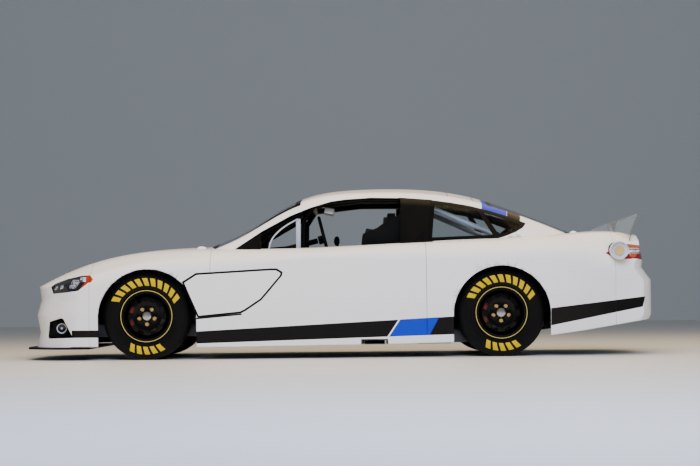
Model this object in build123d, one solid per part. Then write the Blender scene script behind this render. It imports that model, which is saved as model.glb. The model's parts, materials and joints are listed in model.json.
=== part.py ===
from build123d import *
from math import atan2, copysign, cos, degrees, hypot, radians, sin
import os

os.makedirs("parts", exist_ok=True)

# Frame of the car, in millimetres: ground at Z = 0, nose towards -X, left (driver's) side -Y
wheelbase = 2794
front_axle_x = -1505
rear_axle_x = front_axle_x + wheelbase
tyre_radius = 344
tyre_width = 306
wheel_y = 775
axle_z = tyre_radius
skin = 6
lid_seam = 5
far = 2800

# Wheel arches, as seen from the side, with a flange turned inwards
front_arch = dict(x=-1495, z=326, radius=387, lip_z=135)
rear_arch = dict(x=1291, z=332, radius=382, lip_z=320)
lip_depth = 22
lip_wall = 6

# Seams between the panels, along the car
nose_seam_x = -1950
hood_rear_x = -1060
door_front_x = -1000
door_rear_x = 700
bumper_seam_x = 2195

# Lengthwise stations of the lower body: x, height on the centre line, then the corners
# of the half section as (y, z): crest, shoulder, lower crease and hem
body_stations = [
    (-2600, 500, (600, 470), (820, 400), (860, 290), (850, 104)),
    (-2290, 678, (640, 640), (900, 528), (930, 330), (915, 104)),
    (-1950, 811, (680, 772), (938, 640), (962, 400), (940, 104)),
    (-1500, 890, (705, 856), (948, 748), (974, 440), (955, 100)),
    (-1000, 917, (770, 868), (944, 764), (964, 432), (958, 93)),
    (-300, 893, (806, 872), (928, 806), (956, 440), (952, 96)),
    (600, 915, (808, 908), (932, 814), (958, 448), (950, 106)),
    (1300, 962, (785, 934), (950, 818), (977, 440), (950, 128)),
    (1900, 998, (720, 972), (936, 812), (952, 462), (925, 190)),
    (2600, 916, (650, 893), (870, 790), (900, 500), (880, 300)),
]
body_rounding = [0.42, 0.40, 0.30, 0.30, 0.04]
hollow_reach = 150

# Nose and tail on the centre line: height, then x of the plan's foremost or rearmost corner
nose_profile = [(40, -2520), (160, -2497), (222, -2486), (362, -2506), (480, -2471), (590, -2488), (1120, -2400)]
tail_profile = [(60, 2499), (270, 2515), (325, 2541), (592, 2541), (690, 2469), (760, 2477), (1120, 2405)]
# Plan of the nose and of the tail: set-back from that corner, then half width
nose_plan = [(0, 0), (105, 690), (400, 948), (950, 1080)]
tail_plan = [(0, 0), (42, 770), (170, 935), (900, 1080)]
plan_rounding = [0.42, 0.42, 0.40, 0.20, 0.02]

# Lengthwise stations of the cabin: x, half width at its base, rail as (y, z), crown height
cabin_base_z = 800
cabin_stations = [
    (-1130, 700, (560, 806), 866),
    (-926, 800, (690, 893), 973),
    (-600, 822, (655, 1073), 1147),
    (-300, 829, (630, 1240), 1307),
    (-110, 831, (617, 1290), 1361),
    (200, 831, (608, 1312), 1392),
    (600, 831, (604, 1307), 1392),
    (1000, 828, (592, 1258), 1347),
    (1300, 822, (580, 1180), 1266),
    (1760, 792, (562, 1010), 1088),
    (2060, 765, (540, 870), 958),
]
cabin_rounding = [0.42, 0.22, 0.05]

# Outlines on the left side, as (x, z)
headlamp = [(-2273, 583), (-2240, 610), (-2140, 645), (-2030, 667), (-1957, 672), (-1955, 612), (-2037, 548),
            (-2141, 536), (-2255, 528)]
fog_opening = [(-2285, 307), (-2180, 336), (-2160, 327), (-2080, 180), (-2290, 173), (-2300, 190)]
vent_plate = [(-1222, 609), (-1111, 679), (-522, 710), (-475, 709), (-428, 680), (-436, 649), (-595, 462),
              (-722, 377), (-761, 358), (-1100, 327)]
front_window = [(-607, 850), (-607, 1008), (-369, 1136), (-209, 1200), (-48, 1248), (72, 1265), (273, 1277),
                (512, 1272), (505, 885), (-289, 850)]
quarter_window = [(755, 1254), (914, 1232), (1074, 1203), (1233, 1161), (1353, 1123), (1473, 1078), (1520, 1058),
                  (1495, 1024), (1430, 985), (1350, 954), (1285, 934), (1148, 931), (909, 923), (715, 914)]
tail_lamp = [(2300, 880), (2560, 850), (2560, 745), (2330, 760)]
skirt_band = [(-1099, 0), (-1099, 126), (908, 178), (908, 0)]
skirt_notch = dict(x0=181, x1=394, z=147)
filler = dict(x=2219, y=-890, z=823, ring=71, bore=63, reach=70, depth=25)
fog_lamp = dict(x=-2187, y=-800, z=254, outer=52, inner=42)

# Outlines of the lids and of the glass, seen from above
hood_plan = [(-2285, -600), (-2306, -300), (-2312, 0), (-2306, 300), (-2285, 600), (hood_rear_x, 700), (hood_rear_x, -700)]
deck_plan = [(1950, -600), (1950, 600), (2404, 630), (2404, -630)]
windshield_plan = [(-1200, -700), (-926, -672), (-292, -612), (-280, 0), (-292, 612), (-926, 672), (-1200, 700)]
backlight_plan = [(1215, -520), (1215, 520), (1960, 500), (1960, -500)]
flap = dict(x0=905, x1=1105, y0=-500, y1=-110, seam=5, tray_depth=24, tray_rim=20)

nodes = {}


def rounded_outline(corners, cuts, place):
    """Closed wire of lines and tangent arcs: each corner is cut back by a share of its shorter side."""
    count = len(corners)
    starts, middles, ends = [], [], []
    for i, (u, v) in enumerate(corners):
        (pu, pv), (nu, nv) = corners[i - 1], corners[(i + 1) % count]
        back, ahead = hypot(pu - u, pv - v), hypot(nu - u, nv - v)
        cut = cuts[i] * min(back, ahead)
        bu, bv = (pu - u) / back, (pv - v) / back
        au, av = (nu - u) / ahead, (nv - v) / ahead
        half = atan2(abs(bu * av - bv * au), bu * au + bv * av) / 2
        mu, mv = bu + au, bv + av
        depth = cut * (1 - sin(half)) / cos(half) / hypot(mu, mv)
        starts.append((u + bu * cut, v + bv * cut))
        middles.append((u + mu * depth, v + mv * depth))
        ends.append((u + au * cut, v + av * cut))
    edges = []
    for i in range(count):
        edges.append(Edge.make_three_point_arc(*[place(*p) for p in (starts[i], middles[i], ends[i])]))
        edges.append(Edge.make_line(place(*ends[i]), place(*starts[(i + 1) % count])))
    return Wire(edges)


def mirrored(half):
    """Corners of a whole section from its half, whose first corner is on the centre line."""
    return half + [(-u, v) for u, v in reversed(half[1:])]


def whole_rounding(half):
    return half + list(reversed(half[1:]))


def side_loft(inset):
    """Body below the windows as one loft along X, before nose and tail are trimmed in plan."""
    wires = []
    for x, centre_z, crest, shoulder, crease, hem in body_stations:
        half = [(0, centre_z - inset), (crest[0] - inset * 0.6, crest[1] - inset)]
        half += [(shoulder[0] - inset, shoulder[1] - inset * 0.5), (crease[0] - inset, crease[1])]
        reach = 1 + (hollow_reach / (crease[1] - hem[1]) if inset else 0)
        half.append((crease[0] - inset + (hem[0] - crease[0]) * reach, crease[1] + (hem[1] - crease[1]) * reach))
        wires.append(rounded_outline(mirrored(half), whole_rounding(body_rounding), lambda y, z, x=x: (x, y, z)))
    return Solid.make_loft(wires)


def plan_loft(profile, plan, inset, aft):
    """Straight-ruled loft over height of a plan outline that stays open towards the car's far end."""
    wires = []
    for z, x in profile:
        corners = [(x + aft * (back + inset), max(half - inset, 0)) for back, half in plan]
        corners.append((aft * far, plan[-1][1] - inset))
        whole = corners + [(u, -v) for u, v in reversed(corners[1:])]
        wires.append(rounded_outline(whole, whole_rounding(plan_rounding), lambda u, v, z=z: (u, v, z)))
    return Solid.make_loft(wires, ruled=True)


def cabin_loft(inset):
    """Cabin above the sills as one loft along X, with leaning sides and a crowned roof."""
    wires = []
    for x, base_y, rail, crown_z in cabin_stations:
        half = [(0, crown_z - inset), (rail[0] - inset * 0.7, rail[1] - inset * 0.7)]
        half.append((base_y - inset, cabin_base_z - (60 if inset else 0)))
        wires.append(rounded_outline(mirrored(half), whole_rounding(cabin_rounding), lambda y, z, x=x: (x, y, z)))
    return Solid.make_loft(wires)


def block(x0, x1, y0, y1, z0, z1):
    return (Pos((x0 + x1) / 2, (y0 + y1) / 2, (z0 + z1) / 2) * Box(abs(x1 - x0), abs(y1 - y0), abs(z1 - z0))).solid()


def side_prism(points, y0, y1):
    """Prism along Y over an outline given in x and z."""
    face = Face(Wire.make_polygon([(x, y0, z) for x, z in points]))
    return Solid.extrude(face, Vector(0, y1 - y0, 0))


def plan_prism(points, z0, z1):
    """Prism along Z over an outline given in x and y."""
    face = Face(Wire.make_polygon([(x, y, z0) for x, y in points]))
    return Solid.extrude(face, Vector(0, 0, z1 - z0))


def grown(points, amount, both=False):
    """A convex outline moved outwards by the amount; on the centre line only along the car unless both."""
    mu = sum(u for u, v in points) / len(points)
    mv = sum(v for u, v in points) / len(points) if both else 0
    return [(u + copysign(amount, u - mu), v + (copysign(amount, v - mv) if v - mv else 0)) for u, v in points]


def cross_cylinder(x, y, z, radius, width):
    """Cylinder along Y about a point."""
    return Solid.make_cylinder(radius, width, Plane(origin=(x, y - width / 2, z), z_dir=(0, 1, 0)))


def rod(start, end, radius):
    start, end = Vector(*start), Vector(*end)
    return Solid.make_cylinder(radius, (end - start).length, Plane(origin=start, z_dir=end - start))


def ball(point, radius):
    return (Pos(*point) * Sphere(radius)).solid()


def rod_run(points, radius):
    """Round bars through the points, with a ball at each bend."""
    return [rod(a, b, radius) for a, b in zip(points, points[1:])] + [ball(p, radius) for p in points[1:-1]]


def turned(profile):
    """Ring or disc about the Y axis from corners given as (y, radius)."""
    return Solid.revolve(Face(Wire.make_polygon([(r, y, 0) for y, r in profile])), 360, Axis.Y)


def fused(pieces):
    return pieces[0].fuse(*pieces[1:])


def solids_of(shape):
    if isinstance(shape, (list, tuple)):
        return [solid for item in shape for solid in solids_of(item)]
    return list(shape.solids())


def reach_of(solid):
    return solid.bounding_box().diagonal


def one(shape):
    """The largest solid of a result."""
    return max(solids_of(shape), key=reach_of)


def mirror_y(shape):
    return shape.mirror(Plane.XZ)


def left_and_right(shape):
    return [shape, mirror_y(shape)]


def add(name, shape, smallest=12):
    """Keep a node, without slivers whose box is smaller than this across."""
    kept = [solid for solid in solids_of(shape) if reach_of(solid) > smallest]
    nodes[name] = Compound(children=kept) if len(kept) > 1 else kept[0]


def add_pair(name, shape):
    add(name + "_left", shape)
    add(name + "_right", mirror_y(nodes[name + "_left"]))


# Body forms: whole, hollowed by the wall, and hollowed by the arch flanges
side_form, side_hollow, flange_hollow = (side_loft(inset) for inset in (0, skin, lip_wall + lip_depth))
nose_form, nose_hollow, grille_hollow = (plan_loft(nose_profile, nose_plan, inset, 1) for inset in (0, skin, 30))
tail_form, tail_hollow = (plan_loft(tail_profile, tail_plan, inset, -1) for inset in (0, skin))
cabin_form, cabin_hollow = (cabin_loft(inset) for inset in (0, skin))


def zone(x0, x1, y0=-1200, y1=1200, z0=0, z1=1300):
    return block(x0, x1, y0, y1, z0, z1)


def wall_in(region, *holes):
    """The lower body's wall inside a region, less the holes."""
    return one(side_form.intersect(region)).cut(side_hollow, cabin_hollow, *holes)


def arch_space(arch, more=0):
    """Round above the arch's centre and straight down below it."""
    radius = arch["radius"] + more
    round_top = cross_cylinder(arch["x"], -850, arch["z"], radius, 500)
    return one(round_top.fuse(zone(arch["x"] - radius, arch["x"] + radius, -1100, -600, 0, arch["z"])))


def arch_lip(arch, x0, x1):
    """Flange turned inwards round a wheel arch."""
    ring = arch_space(arch, lip_wall).cut(arch_space(arch))
    ring = one(ring).intersect(zone(x0, x1, -1100, -700, arch["lip_z"], 800))
    return one(one(one(ring).intersect(side_hollow)).cut(flange_hollow))


fog_cut = side_prism(fog_opening, -1100, -600)
lamp_cut = side_prism(headlamp, -1100, -500)
vent_cut = side_prism(vent_plate, -1100, -800)
skirt_cut = side_prism(skirt_band, -1100, -800)
tail_lamp_cut = side_prism(tail_lamp, -1100, -560)
filler_cut = cross_cylinder(filler["x"], -900, filler["z"], filler["ring"], 300)
hood_region, hood_gap = (plan_prism(grown(hood_plan, gap), 300, 1300) for gap in (0, lid_seam))
deck_region, deck_gap = (plan_prism(grown(deck_plan, gap), 700, 1300) for gap in (0, lid_seam))

# Nose with its lamps, openings, grille bars and lamp ducts
grille_opening = dict(y=420, z0=395, z1=545)
lower_opening = dict(y=600, z0=165, z1=300)
bar_height = 14
nose_body = one(one(side_form.intersect(zone(-far, nose_seam_x))).intersect(nose_form))
nose_inside = one(one(side_hollow.intersect(zone(-far, nose_seam_x + 10))).intersect(nose_hollow))
nose_wall = one(nose_body.cut(nose_inside))
openings = [zone(-far, -2300, -o["y"], o["y"], o["z0"], o["z1"]) for o in (grille_opening, lower_opening)]
add("nose", nose_wall.cut(hood_gap, fog_cut, mirror_y(fog_cut), lamp_cut, mirror_y(lamp_cut), *openings))
grille_wall = one(nose_hollow.intersect(zone(-far, -2300, -620, 620, 150, 560))).cut(grille_hollow)
bars = []
for opening, pitch in ((grille_opening, 30), (lower_opening, 34)):
    z0, z1, y = opening["z0"] - 6, opening["z1"] + 6, opening["y"] + 8
    bars += [zone(-far, -2300, -y, y, z, z + bar_height) for z in range(z0, z1 - bar_height + 1, pitch)]
    bars += [zone(-far, -2300, across - 6, across + 6, z0, z1) for across in (-y + 20, -y / 3, y / 3, y - 20)]
add("grille", one(grille_wall).intersect(fused(bars)))
fog_cup = one(side_prism(grown(fog_opening, 6, both=True), -1100, -720).cut(side_prism(fog_opening, -1101, -732)))
fog_cup = one(fog_cup.intersect(nose_inside))
fog_ring = cross_cylinder(fog_lamp["x"], fog_lamp["y"], fog_lamp["z"], fog_lamp["outer"], 40)
fog_ring = one(fog_ring.cut(cross_cylinder(fog_lamp["x"], fog_lamp["y"], fog_lamp["z"], fog_lamp["inner"], 41)))
fog_lens = cross_cylinder(fog_lamp["x"], fog_lamp["y"] + 40, fog_lamp["z"], fog_lamp["inner"] + 4, 90)
add("lamp_ducts", left_and_right(fused([fog_cup, fog_ring, fog_lens])))

splitter_half = [(-2532, 300), (-2470, 690), (-2240, 905), (-2080, 940), (-1950, 940)]
add("splitter", plan_prism([(x, -y) for x, y in splitter_half] + list(reversed(splitter_half)), 88, 100))

# Hood and deck lid, fenders, doors, quarters, vent plates and skirts
add("hood", one(wall_in(zone(-2400, hood_rear_x, -720, 720, 500)).intersect(hood_region)))
add("decklid", one(wall_in(zone(1900, 2500, -660, 660, 700)).intersect(deck_region)))
fender = wall_in(zone(nose_seam_x, door_front_x, -1200, 0), hood_gap, arch_space(front_arch), vent_cut, skirt_cut,
                 zone(-1120, 0, -1200, 0, 0, 350), zone(-1055, 0, -720, 0))
add_pair("fender", fused([one(fender), arch_lip(front_arch, nose_seam_x, door_front_x)]))
door_outline = [(-1120, 0), (-1120, 350), (door_front_x, 360), (door_front_x, 1200), (door_rear_x, 1200), (door_rear_x, 0)]
door_region = side_prism(door_outline, -1200, -730)
add_pair("door", one(wall_in(door_region, vent_cut, skirt_cut, arch_space(front_arch))))
quarter = wall_in(zone(door_rear_x, bumper_seam_x, -1200, 0), arch_space(rear_arch), skirt_cut, deck_gap, filler_cut,
                  zone(1700, 2000, -600, 0))
add_pair("quarter", fused([one(quarter), arch_lip(rear_arch, door_rear_x, bumper_seam_x)]))
side_wall = wall_in(zone(-1300, 950, -1200, -800))
add("vent_plates", left_and_right(one(side_wall.intersect(vent_cut))))
notch = zone(skirt_notch["x0"], skirt_notch["x1"], -1100, 0, 0, skirt_notch["z"])
add("skirts", left_and_right(one(one(side_wall.intersect(skirt_cut)).cut(notch))))

# Tail: bumper cover and lamps
tail_body = one(one(side_form.intersect(zone(bumper_seam_x, far))).intersect(tail_form))
tail_inside = one(one(side_hollow.intersect(zone(bumper_seam_x - 10, far))).intersect(tail_hollow))
tail_wall = one(tail_body.cut(tail_inside))
add("rear_bumper", tail_wall.cut(deck_gap, tail_lamp_cut, mirror_y(tail_lamp_cut), filler_cut))
head_lamp = one(nose_wall.intersect(lamp_cut))
rear_lamp = one(tail_wall.intersect(tail_lamp_cut))
add("lamps", left_and_right(head_lamp) + left_and_right(rear_lamp))

# Cabin: pillars and roof, glass, flaps with their trays, and the panels before and behind it
front_side_cut, quarter_side_cut = (side_prism(outline, -1100, -450) for outline in (front_window, quarter_window))
windshield_cut = plan_prism(windshield_plan, 850, 1500)
backlight_cut = plan_prism(backlight_plan, 900, 1500)
flap_region, flap_gap, tray_region = (
    zone(flap["x0"] - rim, flap["x1"] + rim, flap["y0"] - rim, flap["y1"] + rim, 1100, 1500)
    for rim in (0, flap["seam"], flap["tray_rim"]))
cabin_wall = one(cabin_form.cut(cabin_hollow, side_form))
add("roof_shell", cabin_wall.cut(windshield_cut, backlight_cut, flap_gap, mirror_y(flap_gap), front_side_cut,
                                 mirror_y(front_side_cut), quarter_side_cut, mirror_y(quarter_side_cut)))
add_pair("roof_flap", one(cabin_wall.intersect(flap_region)))
add("windshield", cabin_wall.intersect(windshield_cut))
add("rear_window", cabin_wall.intersect(backlight_cut))
add("quarter_windows", left_and_right(one(cabin_wall.intersect(quarter_side_cut))))
tray = one(cabin_hollow.intersect(tray_region)).cut(cabin_loft(flap["tray_depth"]))
tray = one(tray).cut(one(flap_gap.cut(cabin_loft(flap["tray_depth"] - skin))))
add("flap_trays", left_and_right(one(tray)))
cowl = wall_in(zone(hood_rear_x + lid_seam, door_front_x + 150, -720, 720, 700))
shelf = wall_in(zone(1700, deck_plan[0][0] - lid_seam, -600, 600, 700))
add("cowl_panels", [one(cowl), one(shelf)])

# Spoiler: a leaning blade across the tail with a fence at each end
spoiler_half = 740
blade = one(side_prism([(2318, 880), (2328, 880), (2397, 1112), (2390, 1116)], -spoiler_half, spoiler_half).cut(side_form))
lifted = side_form.translate(Vector(0, 0, 6))
blade = one(blade.cut(*[lifted.intersect(zone(2100, 2500, y0, y1)).solid() for y0, y1 in ((-800, -625), (625, 800))]))
fence = side_prism([(2216, 985), (2237, 1056), (2390, 1116), (2328, 945)], -spoiler_half - 4, -spoiler_half)
add("spoiler", fused([blade, fence, mirror_y(fence)]))

filler_ring, filler_bore = filler["ring"], filler["bore"]
filler_mouth, filler_seat = -filler["reach"], filler["depth"] - filler["reach"]
filler_body = turned([(filler_mouth, filler_ring), (filler_mouth, filler_bore), (filler_seat, filler_bore),
                      (filler_seat, 0), (0, 0), (0, filler_ring)])
add("fuel_filler", Pos(filler["x"], filler["y"], filler["z"]) * filler_body)

# Chassis of box tube: sill rails, front clip, rear clip over the axle, and the members across
rail_width = 75
rail_height = 100
rail_low = 105
front_rail_y = 362
rear_rail_y = 420
sill_y = 770
wall_x = 894
exhaust_y, exhaust_z, exhaust_radius = 320, 141, 30
boom = dict(x0=205, x1=370, z0=105, z1=143)
chassis = []
for side in (-1, 1):
    front_rail = side * front_rail_y, side * (front_rail_y + rail_width)
    rear_rail = side * rear_rail_y, side * (rear_rail_y + rail_width)
    chassis += [
        block(-960, wall_x, side * sill_y, side * (sill_y + rail_width), rail_low, rail_low + rail_height),
        block(-2060, -900, *front_rail, 175, 275),
        block(front_axle_x - 95, front_axle_x + 95, side * 405, side * 440, 265, 760),
        block(wall_x - rail_width, 1075, *rear_rail, rail_low, rail_low + rail_height),
        block(1000, 1075, *rear_rail, rail_low, 590),
        block(1000, 1620, *rear_rail, 490, 590),
        block(1545, 1620, *rear_rail, 330, 560),
        block(1545, 2330, *rear_rail, 330, 430),
        block(rear_axle_x - 60, rear_axle_x + 60, side * 290, side * 425, 560, 590),
    ]
# Members across: x0, x1, half width, z0, z1
for x0, x1, half, z0, z1 in [(-2060, -1985, 437, 175, 275), (-1545, -1465, 437, 105, 180), (-975, -900, 845, 175, 250),
                             (25, 100, 845, 105, 205), (wall_x - 75, wall_x, 845, 105, 190), (2255, 2330, 495, 330, 430)]:
    chassis.append(block(x0, x1, -half, half, z0, z1))
pipe_space = [block(-100, 160, side * 395, side * 565, 0, exhaust_z + 38) for side in (-1, 1)]
pipe_space += [block(boom["x0"] - 12, boom["x1"] + 12, side * 760, side * 860, 0, boom["z1"] + 12) for side in (-1, 1)]
chassis_frame = fused(chassis).cut(*pipe_space)
add("chassis", chassis_frame)

# Floor pan with its tunnel, firewall, rear wall, boot floor and wheel tubs
floor_z = rail_low + rail_height
sheet = 6
step_z = 320
inside = one(side_hollow.intersect(zone(-1200, 2200)))
tunnel = dict(half=150, z0=490, z1=430)
floor_profile = [(-1000, floor_z), (480, floor_z), (600, step_z), (wall_x, step_z)]
floor_sheet = side_prism(floor_profile + [(x, z + sheet) for x, z in reversed(floor_profile)], -1000, 1000)
tunnel_profile = [(-1000, floor_z), (-1000, tunnel["z0"]), (-400, tunnel["z1"]), (wall_x, tunnel["z1"]), (wall_x, floor_z)]
tunnel_room = side_prism([(x + (20 if x > 0 else 0), z) for x, z in tunnel_profile], -tunnel["half"], tunnel["half"])
tunnel_skin = [(x, z + (sheet if z > floor_z else 0)) for x, z in tunnel_profile]
tunnel_shell = side_prism(tunnel_skin, -tunnel["half"] - sheet, tunnel["half"] + sheet)
walls = [block(-1000, -1000 + sheet, -1000, 1000, floor_z, 880), block(wall_x, wall_x + sheet, -1000, 1000, floor_z, 905),
         block(wall_x, 2180, -560, 560, 640, 640 + sheet), floor_sheet, tunnel_shell]
tub_space = cross_cylinder(rear_axle_x, 0, axle_z, 380, 2000)
floor = fused(walls).intersect(inside)
stay_room = [block(1495, 1595, side * 425, side * 500, 600, 700) for side in (-1, 1)]
arm_room = [block(880, 910, side * 295, side * 365, 195, 272) for side in (-1, 1)]
floor = one(one(floor).cut(cabin_hollow.intersect(zone(-1200, -900, -1200, 1200, 700)).solid(), tunnel_room, chassis_frame, *stay_room, *arm_room))
tubs = []
for side in (-1, 1):
    tub = cross_cylinder(rear_axle_x, side * 737, axle_z, 386, 354).cut(tub_space)
    disc = cross_cylinder(rear_axle_x, side * 563, axle_z, 386, sheet).cut(cross_cylinder(rear_axle_x, side * 563, axle_z, 230, 60))
    tub = one(fused([one(tub), one(disc)]).intersect(zone(800, 1800, -1000, 1000, 262, 900)))
    tubs.append(one(one(tub.intersect(inside)).cut(chassis_frame)))
add("floor", floor)
add("wheel_tubs", tubs)

# Wheels: the left one about its own centre, outer side towards -Y
bead_radius = 191
rim_half = 132
disc_y = -72
slot_circle = 130
stud_circle = 127
hub_cap_radius = 39
brake_radius = 150


def tyre():
    half = tyre_width / 2
    side = [(-125, bead_radius), (-125, 207), (-half, 264), (-half + 30, tyre_radius)]
    return turned(side + [(-y, r) for y, r in reversed(side)])


def rim():
    """Pressed steel wheel: flanged rim, dished disc with eight slots, five lug nuts and a hub cap."""
    barrel = turned([(-rim_half, 180), (-rim_half, 206), (-125, 206), (-125, bead_radius), (125, bead_radius),
                     (125, 206), (rim_half, 206), (rim_half, 184), (-118, 184)])
    disc = turned([(-60, 186), (-60, 176), (disc_y - 8, 150), (disc_y - 8, 112), (disc_y, 88), (disc_y, 24),
                   (-58, 24), (-58, 92), (-66, 118), (-66, 146), (-46, 176), (-46, 186)])
    cap = turned([(disc_y - 26, 0), (disc_y - 26, hub_cap_radius - 5), (disc_y - 20, hub_cap_radius), (-58, hub_cap_radius), (-58, 0)])
    slots, nuts = [], []
    for k in range(8):
        slot = Rot(0, 45 * k + 22.5, 0) * Pos(slot_circle, disc_y, 0) * Box(30, 60, 50)
        slots.append(slot.solid())
    for k in range(5):
        nut = Rot(0, 72 * k + 90, 0) * Pos(stud_circle / 2, disc_y - 24, 0) * extrude(Plane.XZ * RegularPolygon(16, 6), -26)
        nuts.append(nut.solid())
    return fused([barrel, disc.cut(*slots), cap] + nuts)


def brake_disc():
    """Cast disc on its hub, bored for the spindle."""
    return turned([(-57.9, 22.3), (-57.9, 60), (-14, 60), (-14, 78), (-10, 78), (-10, brake_radius),
                   (18, brake_radius), (18, 60), (34, 60), (34, 22.3)])


def caliper():
    """Block that bridges the disc on its front side, with a slot for the disc."""
    body = block(-172, -96, -40, 62, -75, 75)
    ring = turned([(-60, 96), (-60, 176), (70, 176), (70, 96)])
    slot = turned([(-16, 0), (-16, brake_radius + 6), (24, brake_radius + 6), (24, 0)])
    return one(one(body.intersect(ring)).cut(slot))


wheel_pieces = {"tyre": tyre(), "rim": rim(), "brake_disc": brake_disc()}
for place, x in {"front": front_axle_x, "rear": rear_axle_x}.items():
    for name, shape in wheel_pieces.items():
        for side, y in {"left": -wheel_y, "right": wheel_y}.items():
            turned_out = shape if side == "left" else mirror_y(shape)
            add(f"{name}_{place}_{side}", Pos(x, y, axle_z) * turned_out)

# Front uprights with spindle, steering arm and caliper
kingpin_y = -700
ball_low_z = 222
ball_high_z = 470
spindle_radius = 22
steer_arm_x = -1625
steer_rod_z = 300
steer_rod_radius = 13
grip = caliper()
add_pair("knuckle", fused([
    block(front_axle_x - 34, front_axle_x + 34, kingpin_y - 20, kingpin_y + 22, ball_low_z + 14, ball_high_z - 14),
    rod((front_axle_x, -wheel_y - 56, axle_z), (front_axle_x, kingpin_y + 10, axle_z), spindle_radius),
    block(steer_arm_x - 18, front_axle_x, kingpin_y - 12, kingpin_y + 16, steer_rod_z + 20, steer_rod_z + 44),
    block(front_axle_x - 165, front_axle_x, kingpin_y - 24, kingpin_y - 6, axle_z - 12, axle_z + 40),
    Pos(front_axle_x, -wheel_y, axle_z) * grip]))

# Front suspension, each side joined: two wishbones of tube and a coil-over leg between them
arm_pivot_y = front_rail_y + rail_width + 20.5
suspension = []
for z, reach in ((ball_low_z, 120), (ball_high_z, 92)):
    joint = (front_axle_x, kingpin_y, z)
    for sign in (-1, 1):
        suspension.append(rod((front_axle_x + sign * reach, -arm_pivot_y, z), joint, 13))
    suspension.append(rod((front_axle_x - reach - 24, -arm_pivot_y, z), (front_axle_x + reach + 24, -arm_pivot_y, z), 17))
    suspension.append(rod((front_axle_x, kingpin_y, z - 13), (front_axle_x, kingpin_y, z + 13), 22))
suspension.append(block(front_axle_x - 62, front_axle_x + 62, -585, -545, ball_low_z - 10, ball_low_z + 10))
suspension.append(rod((front_axle_x, -565, ball_low_z), (front_axle_x, -520, 735), 20))
suspension.append(rod((front_axle_x, -553, 360), (front_axle_x, -528, 650), 44))
suspension.append(block(front_axle_x - 30, front_axle_x + 30, -535, -440, 715, 735))
add("front_suspension", left_and_right(fused(suspension)))

# Steering: cross rod, hand wheel and column
rod_end = (steer_arm_x, kingpin_y + 2, steer_rod_z)
add("steering_rod", rod(rod_end, (steer_arm_x, -rod_end[1], steer_rod_z), steer_rod_radius))
driver_y = -400
hand_wheel = dict(x=-105, z=955, radius=178, grip=14, lean=14)
axis = Vector(-cos(radians(hand_wheel["lean"])), 0, -sin(radians(hand_wheel["lean"])))
hub = Vector(hand_wheel["x"], driver_y, hand_wheel["z"])
wheel_plane = Plane(origin=hub, x_dir=(0, 1, 0), z_dir=axis)
grip_profile = [(hand_wheel["grip"] * cos(radians(a)), hand_wheel["radius"] + hand_wheel["grip"] * sin(radians(a)))
                for a in range(22, 360, 45)]
spokes = [(wheel_plane * Rot(0, 0, angle) * Pos(88, 0, 0) * Box(172, 34, 6)).solid() for angle in (-20, 200, 90)]
add("steering_wheel", fused([wheel_plane * Rot(90, 0, 0) * turned(grip_profile),
                             Solid.make_cylinder(34, 50, wheel_plane)] + spokes))
column = rod(tuple(hub + axis * 55.5), tuple(hub + axis * 640), 22)
add("steering_column", column)

# Rear axle: tube and centre housing, spindles, calipers, trailing arms and coil springs
arm_front = dict(x=108, y=190, z=135)
rear_axle = [rod((rear_axle_x, -wheel_y + 40, axle_z), (rear_axle_x, wheel_y - 40, axle_z), 44),
             rod((rear_axle_x, -wheel_y - 56, axle_z), (rear_axle_x, wheel_y + 56, axle_z), spindle_radius),
             ball((rear_axle_x, 0, axle_z), 140),
             rod((rear_axle_x, 0, axle_z), (rear_axle_x - 200, 0, axle_z), 62)]
for side in (-1, 1):
    held = Pos(rear_axle_x, -wheel_y, axle_z) * grip
    rear_axle += [held if side < 0 else mirror_y(held),
                  block(rear_axle_x - 165, rear_axle_x, side * (wheel_y - 70), side * (wheel_y - 50), axle_z - 26, axle_z + 26),
                  rod((rear_axle_x, side * 400, axle_z - 60), (arm_front["x"], side * arm_front["y"], arm_front["z"]), 22),
                  block(rear_axle_x - 40, rear_axle_x + 40, side * 300, side * 500, axle_z - 78, axle_z - 20),
                  rod((rear_axle_x, side * 345, axle_z), (rear_axle_x, side * 345, 559.5), 42)]
add("rear_axle", fused(rear_axle))

# Engine as one block, gearbox with the propeller shaft, exhausts, fuel cell and radiator
add("engine", fused([block(-1440, -1035, -285, 285, 190, 700), block(-1440, -1035, -190, 190, 699, 790)]))
add("gearbox_shaft", fused([rod((-1028, 0, 362), (-480, 0, 330), 92), rod((-500, 0, 330), (rear_axle_x - 200.5, 0, axle_z), 44)]))
exhaust_run = [(-1180, -exhaust_y, 330), (-1010, -exhaust_y, exhaust_z), (-300, -exhaust_y - 100, exhaust_z), (215, -520, exhaust_z - 10)]
boom_end = block(boom["x0"], boom["x1"], -938, -480, boom["z0"], boom["z1"])
boom_bore = block(boom["x0"] + 4, boom["x1"] - 4, -1000, -700, boom["z0"] + 4, boom["z1"] - 4)
exhaust = fused(rod_run(exhaust_run, exhaust_radius) + [boom_end])
add("exhaust", left_and_right(one(exhaust.cut(boom_bore))))
add("fuel_cell", block(1700, 2180, -330, 330, 215, 480))
add("radiator", block(-2230, -2150, -350, 350, 215, 600))

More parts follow.
